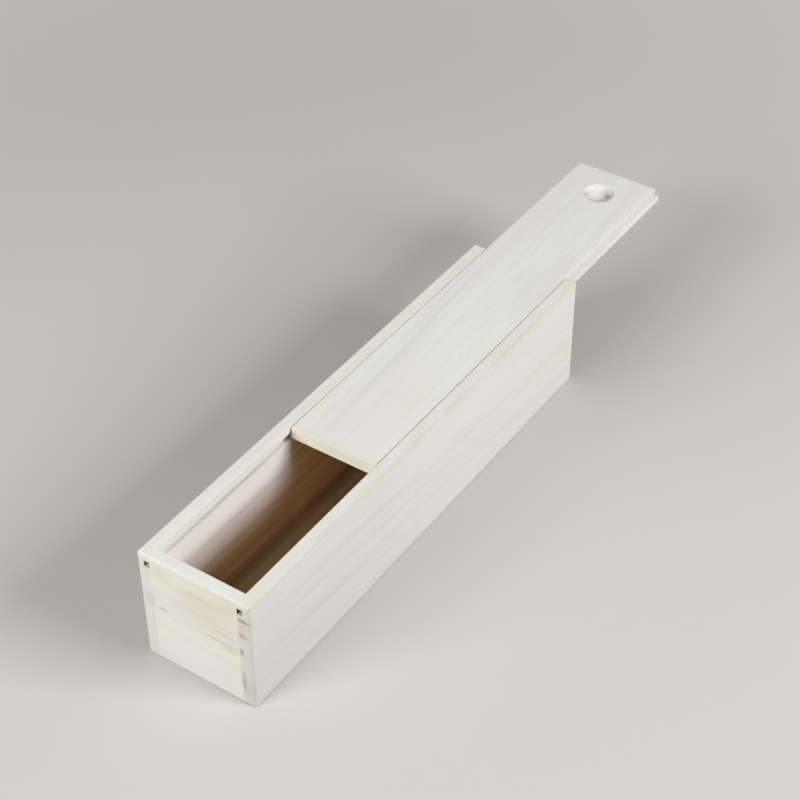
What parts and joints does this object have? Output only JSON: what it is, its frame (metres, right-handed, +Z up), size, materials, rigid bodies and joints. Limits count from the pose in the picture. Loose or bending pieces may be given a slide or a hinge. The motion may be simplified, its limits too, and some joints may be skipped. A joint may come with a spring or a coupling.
{
  "type": "sliding lid box",
  "caption": "Long slim wooden box with butt-jointed walls and a flat lid that slides in grooves and has a dished finger scoop near its pull end.",
  "frame": {"origin": "middle of the underside of the box without its lid", "axes": "+X along the box from the closed end to the open end, the way the lid is drawn out; +Y to the left side board; +Z up"},
  "size_m": [0.5472, 0.09, 0.093],
  "materials": {
    "paulownia_side_right": "planed, unfinished",
    "paulownia_side_left": "planed, unfinished",
    "paulownia_closed_end": "planed, unfinished",
    "paulownia_open_end": "planed, unfinished",
    "paulownia_bottom": "planed, unfinished",
    "paulownia_lid": "planed, unfinished"
  },
  "bodies": {
    "carcass": {"side_board_right": "paulownia_side_right", "side_board_left": "paulownia_side_left", "closed_end_board": "paulownia_closed_end", "open_end_board": "paulownia_open_end", "bottom_board": "paulownia_bottom"},
    "lid": {"sliding_lid": "paulownia_lid"}
  },
  "joints": [
    {"name": "lid_slide", "type": "slide", "parent": "carcass", "child": "lid", "axis": [1, 0, 0], "range_m": [-0.1407, 0.262]}
  ]
}
